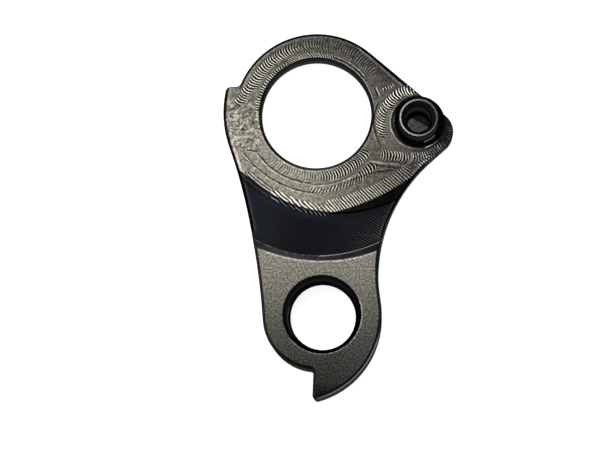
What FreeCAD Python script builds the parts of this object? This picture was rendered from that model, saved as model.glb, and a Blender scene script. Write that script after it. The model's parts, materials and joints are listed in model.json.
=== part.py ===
import FreeCAD, Part
import math
import os

# Derailleur hanger, milled in one piece from aluminium plate. Sizes in millimetres.
# The origin is the centre of the axle bore on the flat back face.
# X runs forward along the frame, Y up and Z out of the milled front face.

V = FreeCAD.Vector

# Plate that is clamped under the axle
plate_t = 2.5
ring_r = 11.8
axle_bore_d = 15.8
axle_bore_break = 0.4

# Locating pad behind the axle ring, bounded by a larger arc and a flat shoulder
pad_step = 1.6
pad_y = 0.4
pad_r = 15.55
shoulder_y = 4.1
shoulder_outer_r = 0.8
shoulder_inner_r = 0.9

# Boss that centres the hanger in the frame, with its blind tapped fixing hole
boss_x = 14.6
boss_y = -1.35
spigot_d = 5.7
spigot_height = 2.8
spigot_break = 0.12
boss_seat_width = 0.95
boss_disc_corner_r = 0.4
boss_seat_depth = 0.15
boss_foot_blend_r = 0.75
fixing_thread_d = 4.0
fixing_lead_in_d = 4.7
fixing_lead_in_depth = 1.5
fixing_floor_t = 0.8

# Lobe that carries the boss, placed from the boss
lobe_dx = 2.05
lobe_dy = -1.4
lobe_r = 2.93

# Tab that carries the derailleur on an M10 thread
tab_t = 7.0
derailleur_x = 0.9
derailleur_y = -29.4
derailleur_thread_d = 10.0
derailleur_mouth_break = 0.5
derailleur_back_break = 0.4

# Arcs that bound the tab on its rear and front sides. Each reaches this far from the tapped hole's
# centre, and has its own centre this much above the hole's.
tab_rear_reach = 8.25
tab_rear_dy = -0.3
tab_rear_r = 7.3
tab_front_reach = 8.3
tab_front_dy = 0.05
tab_front_r = 12.2

# Waist between the plate and the tab
rear_waist_r = 97.0
throat_r = 22.5
throat_slope_deg = 41.5

# Stop tooth that the derailleur's tension screw pushes on
stop_face_offset = 0.85
stop_face_lean_deg = 2.5
stop_corner_r = 0.7

# Ramp that climbs from the plate to the tab. Its foot and its head are arcs that spread this far
# to each side of their lowest points, and straight arms carry them on past the outline.
ramp_rear_spread_deg = 38.0
ramp_front_spread_deg = 35.0
ramp_arm = 60.0
ramp_foot_x = 3.3
ramp_foot_low_y = -14.65
ramp_foot_r = 18.7
ramp_run = 6.55
ramp_head_x = 0.65
ramp_head_r = 18.8
ramp_foot_blend_r = 1.0
ramp_head_round_r = 0.3

# Shallow facet between the head of the ramp and the tab's face. The arc at its upper edge is
# larger than the ramp's head by this step in radius.
facet_drop = 0.2
facet_width = 0.85
facet_x = 0.9
facet_r_step = 2.7

# Edge breaks round the outline. The tooth's tip stays a little round inside the tab's chamfer.
tab_break = 0.45
tooth_crest_r = 0.05
plate_round_r = 0.15
back_break = 0.3

# How far a turned cutter runs past the face that it opens
overcut = 1.0

# Distance within which two points or levels count as the same
touching = 0.001

axle = V(0, 0, 0)
pad = V(pad_r - ring_r - pad_step, pad_y, 0)
boss = V(boss_x, boss_y, 0)
lobe = boss + V(lobe_dx, lobe_dy, 0)
derailleur = V(derailleur_x, derailleur_y, 0)
tab_rear = derailleur + V(tab_rear_r - tab_rear_reach, tab_rear_dy, 0)
tab_front = derailleur + V(tab_front_reach - tab_front_r, tab_front_dy, 0)
boss_disc_r = spigot_d / 2 + boss_seat_width
z_axis = V(0, 0, 1)


def polar(centre, radius, angle_deg):
    """Point at a distance and direction from a centre."""
    angle = math.radians(angle_deg)
    return centre + V(math.cos(angle), math.sin(angle), 0) * radius


def bearing(start, end):
    """Direction from start to end, in degrees."""
    return math.degrees(math.atan2(end.y - start.y, end.x - start.x))


def towards(start, end, distance):
    """Point at a distance from start on the ray to end."""
    return start + (end - start) * (distance / (end - start).Length)


def line_meets_circle(point, heading, centre, radius, side):
    """Crossing of a line with a circle, the far one for side 1 and the near one for side -1."""
    offset = centre - point
    along = offset.dot(heading)
    half_chord = math.sqrt(radius ** 2 - offset.dot(offset) + along ** 2)
    return point + heading * (along + side * half_chord)


def line(start, end):
    return Part.LineSegment(start, end).toShape()


def arc(start, end, centre, turn):
    """Arc about a centre, anticlockwise for turn 1 and clockwise for turn -1."""
    start_deg = bearing(centre, start)
    sweep = (bearing(centre, end) - start_deg) * turn % 360
    middle = polar(centre, (start - centre).Length, start_deg + turn * sweep / 2)
    return Part.Arc(start, middle, end).toShape()


def top_edge():
    """Ends of the straight edge that touches the axle ring and the lobe."""
    lean_deg = math.degrees(math.acos((ring_r - lobe_r) / (lobe - axle).Length))
    normal_deg = bearing(axle, lobe) + lean_deg
    return polar(axle, ring_r, normal_deg), polar(lobe, lobe_r, normal_deg)


def rear_waist_centre():
    """Centre of the hollow arc that touches the pad and the tab on their rear side."""
    reach_pad = pad_r + rear_waist_r
    reach_tab = tab_rear_r + rear_waist_r
    span = (tab_rear - pad).Length
    along = (reach_pad ** 2 - reach_tab ** 2 + span ** 2) / (2 * span)
    across = math.sqrt(reach_pad ** 2 - along ** 2)
    return polar(towards(pad, tab_rear, along), across, bearing(pad, tab_rear) - 90)


def throat():
    """Lobe end and inner end of the straight edge below the lobe, and the throat arc's centre."""
    outward = polar(V(), 1, throat_slope_deg - 90)
    heading = polar(V(), 1, throat_slope_deg + 180)
    lobe_end = lobe + outward * lobe_r
    centre = line_meets_circle(
        lobe_end + outward * throat_r, heading, tab_front, throat_r + tab_front_r, -1)
    return lobe_end, centre - outward * throat_r, centre


def stop_face():
    """Root and tip of the face that the tension screw pushes on."""
    heading = polar(V(), 1, -90 - stop_face_lean_deg)
    above = derailleur - V(stop_face_offset, 0, 0)
    root = line_meets_circle(above, heading, tab_rear, tab_rear_r, 1)
    return root, line_meets_circle(above, heading, tab_front, tab_front_r, 1)


def shoulder():
    """Ends of the flat shoulder, at the axle ring and at the pad's arc."""
    inner = V(-math.sqrt(ring_r ** 2 - shoulder_y ** 2), shoulder_y, 0)
    outer = V(pad.x - math.sqrt(pad_r ** 2 - (shoulder_y - pad_y) ** 2), shoulder_y, 0)
    return inner, outer


def outline():
    """Closed outline, followed anticlockwise from the front of the axle ring."""
    ring_front, lobe_top = top_edge()
    shoulder_inner, shoulder_outer = shoulder()
    waist_centre = rear_waist_centre()
    pad_low = towards(pad, waist_centre, pad_r)
    tab_rear_top = towards(tab_rear, waist_centre, tab_rear_r)
    root, tip = stop_face()
    lobe_low, throat_top, throat_centre = throat()
    tab_front_top = towards(tab_front, throat_centre, tab_front_r)
    return Part.Wire([
        arc(ring_front, shoulder_inner, axle, 1),
        line(shoulder_inner, shoulder_outer),
        arc(shoulder_outer, pad_low, pad, 1),
        arc(pad_low, tab_rear_top, waist_centre, -1),
        arc(tab_rear_top, root, tab_rear, 1),
        line(root, tip),
        arc(tip, tab_front_top, tab_front, 1),
        arc(tab_front_top, throat_top, throat_centre, -1),
        line(throat_top, lobe_low),
        arc(lobe_low, lobe_top, lobe, 1),
        line(lobe_top, ring_front),
    ])


def is_upright(edge):
    ends = [vertex.Point for vertex in edge.Vertexes]
    return len(ends) == 2 and math.hypot(ends[0].x - ends[1].x, ends[0].y - ends[1].y) < touching


def is_level(edge, z):
    box = edge.BoundBox
    return abs(box.ZMin - z) < touching and abs(box.ZMax - z) < touching


def is_wall(face):
    """True for the upright faces that follow the outline."""
    u_min, u_max, v_min, v_max = face.ParameterRange
    return abs(face.normalAt((u_min + u_max) / 2, (v_min + v_max) / 2).z) < touching


def rim_edges(body):
    """Edges where the outline's walls end, at the back as well as at the front."""
    edges = {}
    for face in filter(is_wall, body.Faces):
        for edge in face.Edges:
            if not is_upright(edge):
                edges[edge.hashCode()] = edge
    return list(edges.values())


def round_corner(body, point, radius):
    """Round the upright edge that stands at a point of the outline."""
    corner = min(
        filter(is_upright, body.Edges),
        key=lambda edge: math.hypot(edge.Vertexes[0].X - point.x, edge.Vertexes[0].Y - point.y),
    )
    return body.makeFillet(radius, [corner])


def outlined_blank():
    """Prism of the outline with its corners rounded, and the full disc round the boss."""
    body = Part.Face(outline()).extrude(z_axis * tab_t)
    shoulder_inner, shoulder_outer = shoulder()
    root, tip = stop_face()
    body = round_corner(body, shoulder_inner, shoulder_inner_r)
    body = round_corner(body, shoulder_outer, shoulder_outer_r)
    body = round_corner(body, root, stop_corner_r)
    body = round_corner(body, tip, tab_break + tooth_crest_r)
    disc = Part.makeCylinder(boss_disc_r, tab_t, boss)
    body = body.fuse(disc).removeSplitter()
    ring_end, lobe_end = top_edge()
    heading = towards(V(), lobe_end - ring_end, 1)
    for side in (-1, 1):
        corner = line_meets_circle(ring_end, heading, boss, boss_disc_r, side)
        body = round_corner(body, corner, boss_disc_corner_r)
    body = body.makeChamfer(tab_break, [edge for edge in body.Edges if is_level(edge, tab_t)])
    return body.makeChamfer(back_break, [edge for edge in body.Edges if is_level(edge, 0)])


def ramp_profile(x, low_y, radius, z):
    """Closed level profile with an arc as its lower side, low_y being its lowest point."""
    centre = V(x, low_y + radius, z)
    rear_deg = -90 - ramp_rear_spread_deg
    front_deg = -90 + ramp_front_spread_deg
    rear = polar(centre, radius, rear_deg)
    front = polar(centre, radius, front_deg)
    rear_far = polar(rear, ramp_arm, rear_deg - 90)
    front_far = polar(front, ramp_arm, front_deg + 90)
    return Part.Wire([
        line(rear_far, rear),
        arc(rear, front, centre, 1),
        line(front, front_far),
        line(front_far, rear_far),
    ])


def edges_along(body, wire):
    """Edges of a body that lie on a wire."""
    def middle(edge):
        return Part.Vertex(edge.valueAt((edge.FirstParameter + edge.LastParameter) / 2))
    return [edge for edge in body.Edges if wire.distToShape(middle(edge))[0] < touching]


def milled_block():
    """Block with the plate, the ramp and the facet milled into its front, oversize by a thickness."""
    head_low = ramp_foot_low_y - ramp_run
    facet_z = tab_t - facet_drop
    foot = ramp_profile(ramp_foot_x, ramp_foot_low_y, ramp_foot_r, plate_t)
    head = ramp_profile(ramp_head_x, head_low, ramp_head_r, facet_z)
    brow = ramp_profile(facet_x, head_low - facet_width, ramp_head_r + facet_r_step, tab_t)
    box = outline().BoundBox
    corner = V(box.XMin - tab_t, box.YMin - tab_t, 0)
    block = Part.makeBox(box.XLength + 2 * tab_t, box.YLength + 2 * tab_t, tab_t, corner)
    pocket = Part.Face(foot).extrude(z_axis * tab_t)
    ramp = Part.makeLoft([foot, head], True, True)
    facet = Part.makeLoft([head, brow], True, True)
    for cutter in (pocket, ramp, facet):
        block = block.cut(cutter)
    block = block.makeFillet(ramp_foot_blend_r, edges_along(block, foot))
    return block.makeFillet(ramp_head_round_r, edges_along(block, head))


def break_edges(body):
    """Round the front edge of the walls, from the plate up to where the tab's chamfer begins."""
    chamfer_levels = (back_break, tab_t - tab_break)
    rest = [
        edge for edge in rim_edges(body)
        if not any(is_level(edge, level) for level in chamfer_levels)
    ]
    return body.makeFillet(plate_round_r, rest)


def turned(profile, centre):
    """Solid turned from a closed profile of (radius, z) points about an upright axis."""
    points = [V(radius, 0, z) for radius, z in profile]
    face = Part.Face(Part.makePolygon(points + points[:1]))
    return face.revolve(V(), z_axis, 360).translated(centre)


def add_boss(body):
    """Spot-faced seat round the boss, then the spigot with its hollow foot blend."""
    seat_z = plate_t - boss_seat_depth
    top_z = plate_t + spigot_height
    seat = Part.makeCylinder(boss_disc_r, tab_t, boss + z_axis * seat_z)
    spigot = turned([
        (0, 0),
        (spigot_d / 2, 0),
        (spigot_d / 2, top_z - spigot_break),
        (spigot_d / 2 - spigot_break, top_z),
        (0, top_z),
    ], boss)
    body = body.cut(seat).fuse(spigot).removeSplitter()
    foot = [
        edge for edge in body.Edges
        if is_level(edge, seat_z) and abs(edge.BoundBox.XLength - spigot_d) < touching
    ]
    return body.makeFillet(boss_foot_blend_r, foot)


def through_bore(centre, top_z, bore_d, mouth_break, back_end_break):
    """Bore through the whole thickness, with a break at 45 degrees at each end."""
    bore_r = bore_d / 2
    return turned([
        (0, -overcut),
        (bore_r + back_end_break + overcut, -overcut),
        (bore_r, back_end_break),
        (bore_r, top_z - mouth_break),
        (bore_r + mouth_break + overcut, top_z + overcut),
        (0, top_z + overcut),
    ], centre)


def fixing_hole():
    """Blind flat-bottomed hole in the boss, with a tapered lead-in and a break at its mouth."""
    bore_r = fixing_thread_d / 2
    mouth_r = fixing_lead_in_d / 2
    top_z = plate_t + spigot_height
    return turned([
        (0, fixing_floor_t),
        (bore_r, fixing_floor_t),
        (bore_r, top_z - fixing_lead_in_depth),
        (mouth_r, top_z - spigot_break),
        (mouth_r + spigot_break + overcut, top_z + overcut),
        (0, top_z + overcut),
    ], boss)


def drill(body):
    """Axle bore, the derailleur's tapped hole and the fixing hole, cut to thread size."""
    axle_bore = through_bore(axle, plate_t, axle_bore_d, axle_bore_break, axle_bore_break)
    derailleur_hole = through_bore(
        derailleur, tab_t, derailleur_thread_d, derailleur_mouth_break, derailleur_back_break)
    for cutter in (axle_bore, derailleur_hole, fixing_hole()):
        body = body.cut(cutter)
    return body.removeSplitter()


def hanger():
    body = milled_block().common(outlined_blank()).removeSplitter().Solids[0]
    return drill(add_boss(break_edges(body)))


os.makedirs("parts", exist_ok=True)
hanger().exportStep("parts/hanger.step")
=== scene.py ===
import json
import math

import bpy
import numpy as np
from mathutils import Matrix, Vector


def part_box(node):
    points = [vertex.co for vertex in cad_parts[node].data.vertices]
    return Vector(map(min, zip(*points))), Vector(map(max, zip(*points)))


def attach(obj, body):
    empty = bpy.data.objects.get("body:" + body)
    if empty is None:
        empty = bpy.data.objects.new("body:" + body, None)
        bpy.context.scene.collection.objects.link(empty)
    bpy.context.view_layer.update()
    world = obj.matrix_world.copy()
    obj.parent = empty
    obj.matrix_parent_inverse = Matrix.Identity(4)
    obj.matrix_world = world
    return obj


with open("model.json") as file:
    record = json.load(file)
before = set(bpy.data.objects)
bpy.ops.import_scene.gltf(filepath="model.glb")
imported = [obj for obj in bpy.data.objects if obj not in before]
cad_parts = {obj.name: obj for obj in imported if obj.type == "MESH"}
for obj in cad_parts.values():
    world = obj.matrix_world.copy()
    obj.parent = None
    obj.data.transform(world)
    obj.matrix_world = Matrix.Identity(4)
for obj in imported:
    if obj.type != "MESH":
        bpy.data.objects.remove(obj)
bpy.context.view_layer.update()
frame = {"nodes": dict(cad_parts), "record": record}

# Hanger. One piece of aluminium plate, milled on its front and anodised black.
# The imported solid already has its true form, so it stays, and only its finish is made here:
# the marks of the milling cutters, the satin tab and the dull black walls, with painted highlights
# and painted shade in the metal's colour along the edges, round the boss, on the facet and on the tab.
MM = 0.001
hanger = frame["nodes"]["hanger"]
mounts = {mount["name"]: mount for mount in frame["record"]["mounts"]}

anodised = bpy.data.materials.new("black_anodised")
anodised.use_nodes = True
finish = anodised.node_tree
shader = finish.nodes["Principled BSDF"]


def spot(name):
    """Place of a mount on the plate, in millimetres in front of the axle and above it."""
    return tuple(length / MM for length in mounts[name]["pos_m"][:2])


def calc(tree, operation, *terms):
    """Output of a new Math node, with each term a socket or a number."""
    node = tree.nodes.new("ShaderNodeMath")
    node.operation = operation
    for socket, term in zip(node.inputs, terms):
        if isinstance(term, (int, float)):
            socket.default_value = term
        else:
            tree.links.new(term, socket)
    return node.outputs["Value"]


def rise(tree, value, start, end):
    """Smooth step of a value, from 0 at the start to 1 at the end."""
    node = tree.nodes.new("ShaderNodeMapRange")
    node.interpolation_type = "SMOOTHSTEP"
    node.inputs["From Min"].default_value = start
    node.inputs["From Max"].default_value = end
    tree.links.new(value, node.inputs["Value"])
    return node.outputs["Result"]


def new_group(name, inputs):
    """Empty node group, with a Place vector and the named numbers as inputs and a Mark as output."""
    group = bpy.data.node_groups.new(name, "ShaderNodeTree")
    group.interface.new_socket("Place", in_out="INPUT", socket_type="NodeSocketVector")
    for label in inputs:
        group.interface.new_socket(label, in_out="INPUT", socket_type="NodeSocketFloat")
    group.interface.new_socket("Mark", in_out="OUTPUT", socket_type="NodeSocketFloat")
    return group, group.nodes.new("NodeGroupInput").outputs, group.nodes.new("NodeGroupOutput").inputs


def offset(tree, place, centre):
    """Distances of a place in front of a centre and above it, the centre as sockets or numbers."""
    split = tree.nodes.new("ShaderNodeSeparateXYZ")
    tree.links.new(place, split.inputs["Vector"])
    return [calc(tree, "SUBTRACT", split.outputs[axis], start) for axis, start in zip("XY", centre)]


def distance(tree, place, centre):
    """Distance of a place from a centre, the root of the sum of the two squares."""
    x, y = offset(tree, place, centre)
    squares = calc(tree, "ADD", calc(tree, "MULTIPLY", x, x), calc(tree, "MULTIPLY", y, y))
    return calc(tree, "SQRT", squares)


def direction(tree, place, centre):
    """Angle at which a place is seen from a centre, in radians from the front."""
    x, y = offset(tree, place, centre)
    return calc(tree, "ARCTAN2", y, x)


def band_place(tree, given):
    """Angle of a place from the middle of a band, in radians, and its distance across the band."""
    centre = (given["Centre X"], given["Centre Y"])
    middle = calc(tree, "RADIANS", given["Middle"])
    turned = calc(tree, "SUBTRACT", direction(tree, given["Place"], centre), middle)
    across = calc(tree, "SUBTRACT", distance(tree, given["Place"], centre), given["Radius"])
    return calc(tree, "WRAP", turned, math.pi, -math.pi), across


def near(tree, value, half, fade):
    """Mask that is 1 near a value of 0, and falls to 0 between the fade's share of the half and it."""
    share = calc(tree, "ABSOLUTE", calc(tree, "DIVIDE", value, half))
    return rise(tree, share, 1.0, fade)


def near_middle(tree, given, angle):
    """Mask along a band, which falls to 0 towards its two ends."""
    return near(tree, calc(tree, "DEGREES", angle), given["Half Angle"], 0.85)


def give_waves(tree, given, result, travel, mask):
    """Give out a sine wave of the travel over the pitch, under the mask and as strong as the depth."""
    phase = calc(tree, "ADD", calc(tree, "DIVIDE", travel, given["Pitch"]), given["Drift"])
    wave = calc(tree, "SINE", calc(tree, "MULTIPLY", phase, 2 * math.pi))
    mark = calc(tree, "MULTIPLY", calc(tree, "MULTIPLY", wave, mask), given["Depth"])
    tree.links.new(mark, result["Mark"])


# Cutter arcs. The crescents that a round cutter leaves along a curved path. The travel of a point is
# its angle times the path's radius, moved on by the bulge, which fades like half an ellipse towards
# the sides of the band, and by the lean for each millimetre outwards. Drift makes the pitch uneven.
BAND = ["Centre X", "Centre Y", "Radius", "Half Width", "Middle", "Half Angle", "Drift"]
arcs, given, result = new_group("cutter_arcs", BAND + ["Pitch", "Bulge", "Lean", "Depth"])
angle, across = band_place(arcs, given)
share = calc(arcs, "DIVIDE", across, given["Half Width"])
inside = calc(arcs, "MAXIMUM", calc(arcs, "SUBTRACT", 1.0, calc(arcs, "MULTIPLY", share, share)), 0.0)
bow = calc(arcs, "MULTIPLY", calc(arcs, "SQRT", inside), given["Bulge"])
travel = calc(arcs, "MULTIPLY_ADD", angle, given["Radius"], bow)
travel = calc(arcs, "MULTIPLY_ADD", across, given["Lean"], travel)
across_mask = near(arcs, across, given["Half Width"], 0.8)
mask = calc(arcs, "MULTIPLY", across_mask, near_middle(arcs, given, angle))
give_waves(arcs, given, result, travel, mask)

# Cutter rows. Straight strokes inside such a band, which all point at a far origin, so that their
# travel is the angle about that origin times its reach, and the pitch is true at that distance.
rows, given, result = new_group("cutter_rows", BAND + ["Origin X", "Origin Y", "Reach", "Pitch", "Depth"])
angle, across = band_place(rows, given)
from_origin = direction(rows, given["Place"], (given["Origin X"], given["Origin Y"]))
travel = calc(rows, "MULTIPLY", from_origin, given["Reach"])
across_mask = near(rows, across, given["Half Width"], 0.85)
mask = calc(rows, "MULTIPLY", across_mask, near_middle(rows, given, angle))
give_waves(rows, given, result, travel, mask)

# Path line. The thin step that stays beside a cutter's path, dark on the path and light beside it at
# the gap's distance, or the other way round where both strengths are negative. The drift makes it
# wander by less than a tenth of a millimetre.
# The same line also draws painted highlights and painted shade along edges, on the seat, the facet and
# the tab.
step_line, given, result = new_group("path_line", BAND + ["Gap", "Light", "Dark"])
angle, across = band_place(step_line, given)
across = calc(step_line, "MULTIPLY_ADD", given["Drift"], 0.1, across)
beside = calc(step_line, "SUBTRACT", across, given["Gap"])
on_path = near(step_line, across, given["Half Width"], 0.4)
on_side = near(step_line, beside, given["Half Width"], 0.4)
dark = calc(step_line, "MULTIPLY", on_path, given["Dark"])
light = calc(step_line, "MULTIPLY", on_side, given["Light"])
line = calc(step_line, "SUBTRACT", light, dark)
mark = calc(step_line, "MULTIPLY", line, near_middle(step_line, given, angle))
step_line.links.new(mark, result["Mark"])

# Places are in millimetres in the hanger's own frame.
coordinates = finish.nodes.new("ShaderNodeTexCoord")
to_mm = finish.nodes.new("ShaderNodeVectorMath")
to_mm.operation = "SCALE"
to_mm.inputs["Scale"].default_value = 1 / MM
finish.links.new(coordinates.outputs["Object"], to_mm.inputs["Vector"])
place = to_mm.outputs["Vector"]


def noise(scale, detail, distortion=0.0):
    """Noise node on the hanger, whose scale counts its bumps in a millimetre."""
    node = finish.nodes.new("ShaderNodeTexNoise")
    node.inputs["Scale"].default_value = scale
    node.inputs["Detail"].default_value = detail
    node.inputs["Distortion"].default_value = distortion
    finish.links.new(place, node.inputs["Vector"])
    return node


# A slow noise lets the pitch of the strokes drift, and their vigour come and go.
unevenness = finish.nodes.new("ShaderNodeSeparateColor")
finish.links.new(noise(scale=0.7, detail=2.0).outputs["Color"], unevenness.inputs["Color"])
drift = calc(finish, "MULTIPLY", calc(finish, "SUBTRACT", unevenness.outputs["Red"], 0.5), 1.2)
vigour = calc(finish, "MULTIPLY_ADD", rise(finish, unevenness.outputs["Green"], 0.3, 0.55), 0.5, 0.5)


def tool_mark(group, centre, **values):
    """Mark that one pass of a cutter leaves in the finish, or a painted highlight or shade of its shape,
    from its centre and its group's inputs.

    Lengths are in millimetres and angles in degrees from the front, and an input not named is 0.
    """
    node = finish.nodes.new("ShaderNodeGroup")
    node.node_tree = group
    finish.links.new(place, node.inputs["Place"])
    finish.links.new(drift, node.inputs["Drift"])
    values["centre_x"], values["centre_y"] = centre
    for label, value in values.items():
        node.inputs[label.replace("_", " ").title()].default_value = value
    return node.outputs["Mark"]


def added(terms):
    """Sum of several sockets."""
    total = terms[0]
    for term in terms[1:]:
        total = calc(finish, "ADD", total, term)
    return total


def times(*terms):
    """Product of several sockets or numbers."""
    total = terms[0]
    for term in terms[1:]:
        total = calc(finish, "MULTIPLY", total, term)
    return total


# Centres of the passes: the three bores, the lobe's round end, the round of the outline below the
# lobe, the foot of the ramp, and the straight rows that run on to the lobe. Other passes give their
# own below.
AXLE = spot("axle_bore")
BOSS = spot("fixing_thread")
BOLT = spot("derailleur_thread")
LOBE = (16.65, -2.75)
THROAT = (31.25, -23.78)
FOOT = (3.3, 4.05)
STRAIGHT = (-4.5, 15.85)

plate_marks = added([
    # round the axle ring, from the front over the top to the rear, and straight on down the pad
    tool_mark(arcs, AXLE, radius=10.25, half_width=0.95, middle=72, half_angle=40,
              pitch=0.404, bulge=-0.35, depth=0.5),
    tool_mark(arcs, AXLE, radius=9.8, half_width=0.5, middle=100, half_angle=13,
              pitch=0.39, lean=-0.6, depth=0.7),
    tool_mark(arcs, AXLE, radius=10.15, half_width=0.85, middle=133, half_angle=27,
              pitch=0.404, bulge=-0.45, depth=1.7),
    tool_mark(arcs, (39.4, -30.5), radius=60, half_width=0.75, middle=146.3, half_angle=1.6,
              pitch=0.4, bulge=-0.4, depth=1.5),
    # the finer inner pass along the bore
    tool_mark(arcs, AXLE, radius=8.68, half_width=0.4, middle=95, half_angle=25,
              pitch=0.365, lean=-0.7, depth=1.4),
    tool_mark(arcs, AXLE, radius=8.55, half_width=0.3, middle=148, half_angle=31,
              pitch=0.386, depth=1.3),
    # below the bore, faint at the rear and deep at the front
    tool_mark(arcs, AXLE, radius=9.2, half_width=0.78, middle=250, half_angle=27,
              pitch=0.4, bulge=-0.5, depth=0.35),
    tool_mark(arcs, AXLE, radius=9.2, half_width=0.8, middle=299, half_angle=26,
              pitch=0.39, bulge=-0.4, depth=1.7),
    tool_mark(arcs, AXLE, radius=11.2, half_width=0.45, middle=284, half_angle=22,
              pitch=0.49, lean=0.7, depth=0.7),
    tool_mark(arcs, AXLE, radius=11.15, half_width=0.7, middle=311, half_angle=8,
              pitch=0.45, bulge=-0.3, lean=0.3, depth=1.5),
    # below the boss, and the fan round it
    tool_mark(arcs, (8.7, -21.2), radius=15, half_width=1.0, middle=80, half_angle=8.5,
              pitch=0.39, bulge=0.85, depth=1.4),
    tool_mark(arcs, BOSS, radius=4.9, half_width=0.9, middle=124, half_angle=34,
              pitch=0.398, bulge=-0.45, depth=2.2),
    tool_mark(arcs, BOSS, radius=5.35, half_width=0.7, middle=181, half_angle=26,
              pitch=0.434, bulge=-0.2, lean=0.6, depth=1.6),
    tool_mark(arcs, (-23.9, 97.7), radius=100, half_width=0.28, middle=290, half_angle=0.62,
              pitch=0.38, depth=1.3),
    # the steps beside the cutter's paths
    tool_mark(step_line, AXLE, radius=10.12, half_width=0.09, middle=240, half_angle=27,
              gap=0.28, light=0.45, dark=1.1),
    tool_mark(step_line, AXLE, radius=10.3, half_width=0.13, middle=284, half_angle=20,
              gap=0.3, light=0.5, dark=0.4),
    tool_mark(step_line, (1.16, 2.5), radius=14.12, half_width=0.09, middle=240, half_angle=27,
              gap=0.25, light=0.35, dark=1.0),
    tool_mark(step_line, AXLE, radius=8.66, half_width=0.12, middle=55, half_angle=19,
              gap=0.24, light=0.7, dark=1.0),
    # painted highlight beside painted shade round the bore's broken edge
    tool_mark(step_line, AXLE, radius=8.25, half_width=0.1, middle=62, half_angle=55,
              gap=0.13, light=0.8, dark=0.6),
    tool_mark(step_line, AXLE, radius=8.25, half_width=0.1, middle=268, half_angle=70,
              gap=0.2, light=0.45, dark=0.6),
    tool_mark(step_line, BOSS, radius=6.3, half_width=0.12, middle=180, half_angle=30,
              gap=0.25, light=0.3, dark=0.8),
    # a painted highlight along the edge of the seat round the boss
    tool_mark(step_line, BOSS, radius=3.8, half_width=0.12, middle=205, half_angle=75,
              gap=0.16, light=0.7),
    tool_mark(step_line, FOOT, radius=17.67, half_width=0.09, middle=233, half_angle=9,
              gap=0.25, light=0.4, dark=1.0),
    tool_mark(step_line, (-0.56, 43.9), radius=50, half_width=0.09, middle=260, half_angle=0.95,
              gap=0.2, light=0.4, dark=1.0),
    tool_mark(step_line, AXLE, radius=9.2, half_width=0.15, middle=19.5, half_angle=4.5,
              gap=0.28, light=0.9, dark=0.7),
    tool_mark(step_line, (17.5, 42.1), radius=49.8, half_width=0.16, middle=263.1, half_angle=2.1,
              gap=-0.3, dark=-0.6),
    tool_mark(step_line, (21.0, 32.5), radius=50, half_width=0.09, middle=232.5, half_angle=1.3,
              gap=-0.2, light=0.5, dark=0.8),
    # the wandering step where the passes meet below the boss
    tool_mark(step_line, (15.47, 32.15), radius=39.95, half_width=0.22, middle=262, half_angle=3.4,
              gap=0.36, light=-0.5, dark=-0.9),
    tool_mark(step_line, (12.2, -6.25), radius=1.55, half_width=0.22, middle=322, half_angle=56,
              gap=-0.36, light=-0.4, dark=-0.9),
    tool_mark(step_line, (12.0, -25.6), radius=17.3, half_width=0.12, middle=104, half_angle=12,
              gap=0.25, light=0.4, dark=0.8),
])
# on the lobe and along its edge, their bright strokes partly painted highlight
lobe_marks = added([
    tool_mark(arcs, BOSS, radius=5.15, half_width=0.75, middle=278, half_angle=20,
              pitch=0.37, bulge=-0.3, depth=1.15),
    tool_mark(arcs, THROAT, radius=23.2, half_width=0.55, middle=130.5, half_angle=6.6,
              pitch=0.375, bulge=-0.1, depth=1.3),
    tool_mark(arcs, LOBE, radius=2.45, half_width=0.36, middle=343, half_angle=37,
              pitch=0.37, lean=0.3, depth=1.3),
])
# painted highlights on the seat round the spigot, which is painted black
painted_gleams = added([
    tool_mark(step_line, BOSS, radius=3.02, half_width=0.15, middle=302, half_angle=19,
              gap=0.03, light=1.9),
    tool_mark(step_line, BOSS, radius=3.82, half_width=0.13, middle=299, half_angle=16,
              gap=0.03, light=1.2),
    tool_mark(step_line, BOSS, radius=3.5, half_width=0.12, middle=168, half_angle=11,
              gap=0.03, light=0.7),
])
# rows of strokes at the ramp's foot, along its hollow and then straight on to the lobe, with three
# lines at their rear end
foot_marks = added([
    tool_mark(rows, FOOT, radius=18.35, half_width=0.85, middle=251, half_angle=15,
              origin_x=35.2, origin_y=-52.6, reach=55, pitch=0.455, depth=1.3),
    tool_mark(rows, STRAIGHT, radius=30.1, half_width=1.0, middle=294.3, half_angle=13.6,
              origin_x=-40.9, origin_y=40.3, reach=71, pitch=0.378, depth=1.9),
    tool_mark(step_line, FOOT, radius=18.1, half_width=0.1, middle=232, half_angle=9,
              gap=0.2, light=0.5, dark=1.1),
    tool_mark(step_line, FOOT, radius=18.45, half_width=0.1, middle=232, half_angle=10,
              gap=0.16, light=0.4, dark=1.2),
    tool_mark(step_line, FOOT, radius=18.75, half_width=0.1, middle=232, half_angle=11,
              gap=0.17, light=1.0, dark=1.2),
])
# painted highlight and painted shade along the outline, where the edge is broken
painted_edge_light_and_shade = added([
    tool_mark(step_line, AXLE, radius=11.6, half_width=0.2, middle=102, half_angle=62,
              gap=-0.32, light=0.3, dark=1.3),
    tool_mark(step_line, (-123.7, -141.9), radius=199.8, half_width=0.2, middle=47.9, half_angle=1.6,
              gap=-0.34, light=0.7, dark=1.3),
    tool_mark(step_line, (2.15, 0.4), radius=15.35, half_width=0.3, middle=182, half_angle=19,
              gap=-0.45, light=0.2, dark=1.5),
    tool_mark(step_line, (-104.1, -36.7), radius=97.2, half_width=0.28, middle=11.5, half_angle=8.5,
              gap=0.35, light=0.6, dark=1.5),
    tool_mark(step_line, THROAT, radius=22.65, half_width=0.22, middle=158, half_angle=26,
              gap=0.3, light=0.6, dark=1.2),
])
# fine rows down the ramp
ramp_marks = tool_mark(
    rows, FOOT, radius=22, half_width=4.5, middle=272, half_angle=46,
    origin_x=-239.2, origin_y=161.4, reach=300, pitch=0.35, depth=0.9)
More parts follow.
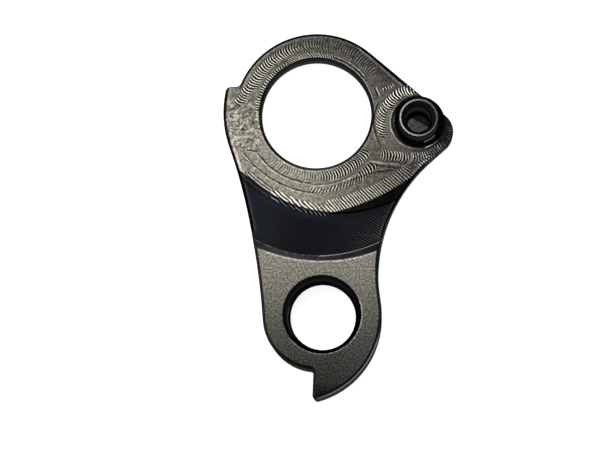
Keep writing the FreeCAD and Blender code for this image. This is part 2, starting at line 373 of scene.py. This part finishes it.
# painted highlights along the facet's edges at the ramp's head, and one round the front of the tapped
# hole's mouth
painted_head_highlight = tool_mark(
    step_line, (0.65, -2.4), radius=18.72, half_width=0.15, middle=283, half_angle=14,
    gap=0.1, light=1.1)
painted_brow_highlight = tool_mark(
    step_line, (0.9, -0.55), radius=21.4, half_width=0.2, middle=270, half_angle=24,
    gap=0.1, light=1.0)
painted_mouth_highlight = tool_mark(
    step_line, BOLT, radius=5.4, half_width=0.12, middle=300, half_angle=88,
    gap=0.16, light=0.5)

# Where a point lies: how far in front of the axle and above it, how high over the flat back, how far
# from the boss, and how its face is turned, with 1 for a face that looks straight up.
split_place = finish.nodes.new("ShaderNodeSeparateXYZ")
finish.links.new(place, split_place.inputs["Vector"])
split_normal = finish.nodes.new("ShaderNodeSeparateXYZ")
finish.links.new(coordinates.outputs["Normal"], split_normal.inputs["Vector"])
forward = split_place.outputs["X"]
upward = split_place.outputs["Y"]
height = split_place.outputs["Z"]
looks_up = split_normal.outputs["Z"]
from_boss = distance(finish, place, BOSS)


def step(value, start, end):
    """Mask on the hanger, a smooth step from 0 at the start to 1 at the end."""
    return rise(finish, value, start, end)


def window(value, low, full, last, high):
    """Mask that is 0 up to the low value, 1 from the full to the last one, and 0 above the high one."""
    return times(step(value, low, full), step(value, high, last))


def scaled(value, factor, start):
    """Start plus the factor times a value."""
    return calc(finish, "MULTIPLY_ADD", value, factor, start)


# Levels of the solid over its back, in millimetres, and the radius of the seat round the spigot.
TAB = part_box("hanger")[1][2] / MM
FACET_FOOT = 6.8
SPIGOT = 5.3
HOLLOW_TOP = 3.5
HOLE_FLOOR = 0.8
SEAT_RADIUS = 3.8

faces_front = step(looks_up, 0.4, 0.75)
is_level = step(looks_up, 0.985, 0.995)
is_low = times(faces_front, step(height, HOLLOW_TOP, HOLLOW_TOP - 0.4))
is_ramp = times(faces_front, window(height, 2.8, 3.4, FACET_FOOT - 0.2, FACET_FOOT - 0.05))
flatness = calc(finish, "ABSOLUTE", looks_up)
outside_mouth = step(distance(finish, place, BOLT), 5.8, 6.2)

# Marks. Grain lies on every level face but the seat, and the plate is mottled too. Where two passes
# cross behind the bore, their marks are a tangle. The rows down the ramp are clearest in front.
grain = calc(finish, "SUBTRACT", noise(scale=4.0, detail=2.0).outputs["Fac"], 0.5)
mottle = calc(finish, "SUBTRACT", noise(scale=1.6, detail=1.0).outputs["Fac"], 0.5)
tangle = noise(scale=1.5, detail=2.0, distortion=1.5)
scuffs = times(
    calc(finish, "SUBTRACT", tangle.outputs["Fac"], 0.5),
    step(forward, -7.6, -8.4), window(upward, -5.4, -4.6, 1.8, 2.6))
ramp_vigour = scaled(step(forward, 0.0, 5.0), 0.55, 0.45)
marks = added([
    times(plate_marks, is_low, vigour),
    times(foot_marks, is_low, vigour),
    times(painted_edge_light_and_shade, faces_front, step(height, TAB - 0.7, TAB - 1.0)),
    times(ramp_marks, is_ramp, vigour, ramp_vigour),
    times(grain, is_level, step(from_boss, SEAT_RADIUS, SEAT_RADIUS + 0.2), 1.6),
    times(mottle, is_level, is_low, 0.9),
    times(scuffs, is_low, 3.0),
])
swing = calc(finish, "MINIMUM", calc(finish, "MAXIMUM", marks, -1.4), 1.5)
relief = added([
    times(plate_marks, is_low, 0.25),
    times(ramp_marks, is_ramp, ramp_vigour, 0.8),
])

# The ramp and its foot. Below the straight rows the level plate is painted dark like the ramp, as
# painted shade, and the marks of the foot are painted light where the hollow curves, as painted
# highlights. The ramp is painted a little lighter at the rear.
painted_dark_below_rows = times(
    step(distance(finish, place, STRAIGHT), 30.9, 31.15), is_low,
    step(looks_up, 0.94, 0.99), step(forward, -0.5, 2.5))
painted_gleam_on_hollow = times(is_low, step(looks_up, 0.99, 0.95), step(forward, -12.0, -6.0))
painted_light_ramp_rear = times(is_ramp, step(looks_up, 0.3, 0.6), step(forward, -2.0, -8.0))

# The plate. Painted shade darkens it towards the front below the bore, and towards the ring's upper front
# edge.
painted_shade_front_low = times(is_low, step(forward, -2.0, 6.0), step(upward, -2.5, -6.5))
painted_shade_upper_front = times(
    is_low, step(distance(finish, place, AXLE), 10.2, 11.2),
    step(forward, 1.0, 6.0), step(upward, 3.5, 5.5), step(from_boss, 6.5, 7.5))

# Round the boss, light and shade are painted. A painted sheen lightens the plate behind it, painted
# shade keeps its seat and the lobe in front of it nearly black, a painted highlight lies on the
# spigot's rim, brighter at the rear, inside its edge, which is painted dark, and a painted shadow
# lies on the upper part of the fixing hole's floor, beyond a line that slants down to the front.
painted_sheen_behind = times(
    step(forward, 15.0, 13.6), is_low, window(from_boss, SEAT_RADIUS, SEAT_RADIUS + 0.4, 5.6, 6.4))
painted_shade_in_front = times(
    step(forward, 15.2, 16.2), step(from_boss, SEAT_RADIUS - 0.4, SEAT_RADIUS),
    step(upward, -5.6, -4.2), is_low)
painted_dark_seat = times(is_low, window(from_boss, 2.7, 2.8, SEAT_RADIUS - 0.02, SEAT_RADIUS + 0.08))
painted_bright_rim = times(step(height, SPIGOT - 0.2, SPIGOT - 0.1), window(from_boss, 2.44, 2.52, 2.64, 2.72))
painted_rim_brightness = scaled(step(forward, 17.2, 13.5), 0.3, 0.5)
painted_dark_rim_edge = times(step(height, SPIGOT - 0.3, SPIGOT - 0.2), window(from_boss, 2.66, 2.76, 3.3, 3.4))
ahead, above = offset(finish, place, BOSS)
slant = math.radians(30)
over_line = added([times(ahead, math.sin(slant)), times(above, math.cos(slant))])
painted_hole_shadow = times(
    step(height, HOLE_FLOOR + 0.15, HOLE_FLOOR + 0.05),
    step(from_boss, 2.2, 2.1), step(over_line, 0.3, 0.4))

# The facet at the ramp's head. It is a browner grey, painted lighter than the ramp and a little
# darker towards the front, with painted highlights along its two edges, broken up by a noise, and a
# lighter patch at its front end.
on_head = times(step(height, FACET_FOOT - 0.08, FACET_FOOT), step(upward, -18.0, -18.5))
on_facet = times(on_head, window(looks_up, 0.75, 0.8, 0.97, 0.985))
patchiness = step(noise(scale=1.8, detail=3.0).outputs["Fac"], 0.4, 0.65)
ramp_edge = window(height, FACET_FOOT - 0.04, FACET_FOOT, FACET_FOOT + 0.02, FACET_FOOT + 0.06)
tab_edge = step(height, TAB - 0.05, TAB - 0.02)
painted_edge_highlights = times(calc(finish, "MAXIMUM", ramp_edge, tab_edge), patchiness)
facet_grain_and_painted_light = added([
    times(painted_edge_highlights, 0.5),
    scaled(step(forward, -6.0, 0.0), -0.22, 0.76),
    painted_head_highlight,
    times(painted_brow_highlight, scaled(patchiness, 0.6, 0.5)),
    times(step(forward, 4.6, 6.4), scaled(patchiness, 0.5, 0.4)),
    times(grain, 1.5),
])

# The tab. Painted light makes its face a little brighter in front, painted shade darkens its tooth
# and its broken edge, and a painted highlight lies where that edge looks forward and down.
on_tab = step(height, TAB - 0.05, TAB - 0.01)
on_chamfer = times(
    window(height, TAB - 0.5, TAB - 0.44, TAB - 0.06, TAB - 0.02), step(looks_up, 0.8, 0.75))
looks_ahead = calc(finish, "SUBTRACT", split_normal.outputs["X"], split_normal.outputs["Y"])
painted_lip_gleam = times(
    on_chamfer, step(height, TAB - 0.26, TAB - 0.34), step(looks_ahead, 0.78, 0.92), outside_mouth)

# Shade. The metal's colour is multiplied by ten to the power of this sum. In its first term, the
# milling marks, the dark side of a stroke counts for more than its bright side, and their bright and
# dark sides are partly painted highlight and painted shade. The outer walls are dull and mirror nothing.
shade = added([
    times(swing, scaled(swing, -0.25, 0.85)),
    # mostly painted light and shade from here on, but the lift of the walls and the tab's grain are the
    # metal's own
    times(painted_dark_below_rows, scaled(ramp_marks, 0.5, -1.4)),
    times(painted_gleam_on_hollow, calc(finish, "ADD", foot_marks, 0.6), 0.38),
    times(painted_shade_in_front, -0.5),
    times(calc(finish, "MINIMUM", lobe_marks, 1.1), is_low, vigour),
    times(painted_sheen_behind, 0.14),
    times(painted_dark_seat, -0.9),
    times(painted_gleams, is_low),
    times(painted_bright_rim, painted_rim_brightness),
    times(painted_dark_rim_edge, -0.7),
    times(painted_hole_shadow, -0.8),
    times(painted_shade_front_low, -0.15),
    times(painted_shade_upper_front, -0.18),
    times(painted_light_ramp_rear, 0.25),
    times(step(flatness, 0.35, 0.2), outside_mouth, 0.15),
    times(on_facet, calc(finish, "MINIMUM", facet_grain_and_painted_light, 1.5)),
    times(on_tab, step(forward, 0.0, 9.0), 0.2),
    times(on_tab, step(upward, -38.5, -41.5), -0.7),
    times(on_tab, painted_brow_highlight, 0.35),
    times(on_tab, grain, 0.3),
    times(on_tab, painted_mouth_highlight),
    times(on_chamfer, -0.3),
    times(painted_lip_gleam, 1.5),
])

BLACK = (0.0285, 0.028, 0.0262, 1.0)
BROWN = (0.034, 0.029, 0.022, 1.0)
tint = finish.nodes.new("ShaderNodeMix")
tint.data_type = "RGBA"
tint.inputs["A"].default_value = BLACK
tint.inputs["B"].default_value = BROWN
below_tab = step(height, TAB - 0.005, TAB - 0.02)
finish.links.new(times(on_head, below_tab), tint.inputs["Factor"])
metal = finish.nodes.new("ShaderNodeVectorMath")
metal.operation = "SCALE"
finish.links.new(tint.outputs["Result"], metal.inputs[0])
finish.links.new(calc(finish, "POWER", 10.0, shade), metal.inputs["Scale"])
finish.links.new(metal.outputs["Vector"], shader.inputs["Base Color"])
scallops = finish.nodes.new("ShaderNodeBump")
scallops.inputs["Distance"].default_value = 0.01 * MM
finish.links.new(relief, scallops.inputs["Height"])
finish.links.new(scallops.outputs["Normal"], shader.inputs["Normal"])
finish.links.new(step(flatness, 0.2, 0.35), shader.inputs["Metallic"])
shader.inputs["Specular IOR Level"].default_value = 0.0
shader.inputs["Roughness"].default_value = 0.15
shader.inputs["Specular Tint"].default_value = (0.5, 0.5, 0.5, 1.0)
for material_slot in hanger.material_slots:
    material_slot.material = anodised

# Threads. Both tapped holes are packed as plain bores at the thread's outer diameter. Their ridges
# are added here, each one a right-handed helix in the hanger's own metal.
STEPS_IN_A_TURN = 96
SUNK = 0.02


def thread_ridge(name, crest_radius, pitch, low, high):
    """Ridge of a tapped thread, on a grid of turns along it by corners across its section.

    A point's angle is 360 degrees for each turn, and its height is a pitch for each turn plus its
    corner's share of the pitch. The two outer corners are sunk in the metal and the two inner ones
    lie at the crest's radius, which fades into the wall over the first and the last half turn.
    """
    centre_x, centre_y = spot(name)
    bore_radius = mounts[name]["dims"]["r_mm"]
    turns = (high - low) / pitch
    along = np.linspace(0.0, turns, int(turns * STEPS_IN_A_TURN))[:, None]
    full = np.clip(2 * np.minimum(along, turns - along), 0.0, 1.0)
    corner_height = np.array([-0.44, -0.12, 0.12, 0.44])
    is_crest = np.array([0.0, 1.0, 1.0, 0.0])
    radius = bore_radius + SUNK * (1 - is_crest) - (bore_radius - crest_radius) * full * is_crest
    turned = 2 * np.pi * along
    points = np.stack([
        centre_x + radius * np.cos(turned),
        centre_y + radius * np.sin(turned),
        low + pitch * (along + corner_height),
    ], axis=-1)
    steps, corners = radius.shape
    index = np.arange(steps * corners).reshape(steps, corners)
    around = np.roll(index, -1, axis=1)
    sides = np.stack([index[:-1], around[:-1], around[1:], index[1:]], axis=-1).reshape(-1, 4)
    caps = np.stack([index[0][::-1], index[-1]])
    mesh = bpy.data.meshes.new(name)
    mesh.from_pydata(points.reshape(-1, 3) * MM, [], np.concatenate([sides, caps]).tolist())
    mesh.materials.append(anodised)
    ridge = bpy.data.objects.new(name, mesh)
    bpy.context.scene.collection.objects.link(ridge)
    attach(ridge, "root")


thread_ridge("derailleur_thread", crest_radius=4.62, pitch=1.0, low=0.9, high=3.6)
thread_ridge("fixing_thread", crest_radius=1.65, pitch=0.7, low=1.2, high=3.5)

# Floor. A plain white sheet that the hanger lies on, seen through its holes. It gives off a light of
# its own, so that it stays white right up to the hanger.
FLOOR_HALF = 1.5
floor_corners = [(x * FLOOR_HALF, y * FLOOR_HALF, 0) for x, y in [(-1, -1), (1, -1), (1, 1), (-1, 1)]]
floor_mesh = bpy.data.meshes.new("floor")
floor_mesh.from_pydata(floor_corners, [], [(0, 1, 2, 3)])
floor = bpy.data.objects.new("floor", floor_mesh)
bpy.context.scene.collection.objects.link(floor)
paper = bpy.data.materials.new("white_paper")
paper.use_nodes = True
paper_shader = paper.node_tree.nodes["Principled BSDF"]
paper_shader.inputs["Base Color"].default_value = (0.9, 0.9, 0.9, 1.0)
paper_shader.inputs["Roughness"].default_value = 0.9
paper_shader.inputs["Emission Color"].default_value = (1.0, 1.0, 1.0, 1.0)
paper_shader.inputs["Emission Strength"].default_value = 0.85
floor_mesh.materials.append(paper)

# Light. One long warm softbox overhead, level with the floor, in a dim and cooler room.
lamp = bpy.data.lights.new("softbox", "AREA")
lamp.shape = "RECTANGLE"
lamp.size = 0.564
lamp.size_y = 0.16
lamp.energy = 3.5
lamp.color = (1.0, 0.95, 0.83)
softbox = bpy.data.objects.new("softbox", lamp)
softbox.location = (-0.279, 0.171, 1.0)
bpy.context.scene.collection.objects.link(softbox)

room = bpy.data.worlds.new("room")
room.use_nodes = True
background = room.node_tree.nodes["Background"]
background.inputs["Color"].default_value = (0.85, 1.0, 1.3, 1.0)
background.inputs["Strength"].default_value = 0.3
bpy.context.scene.world = room
bpy.context.scene.view_settings.view_transform = "Standard"

# Camera. Where the photograph was taken from, worked out from the two bores and the outline.
camera = bpy.data.objects.new("camera", bpy.data.cameras.new("camera"))
camera.data.sensor_width = 36.0
camera.data.lens = 106.53
camera.data.clip_start = 0.01
camera.location = (0.009587, -0.055856, 0.251569)
camera_target = Vector((-0.002336, -0.01618, 0.0025))
gaze = (camera_target - camera.location).normalized()
sideways = gaze.cross(Vector((0, 1, 0))).normalized()
camera.rotation_euler = Matrix((sideways, sideways.cross(gaze), -gaze)).transposed().to_euler()
bpy.context.scene.collection.objects.link(camera)
bpy.context.scene.camera = camera
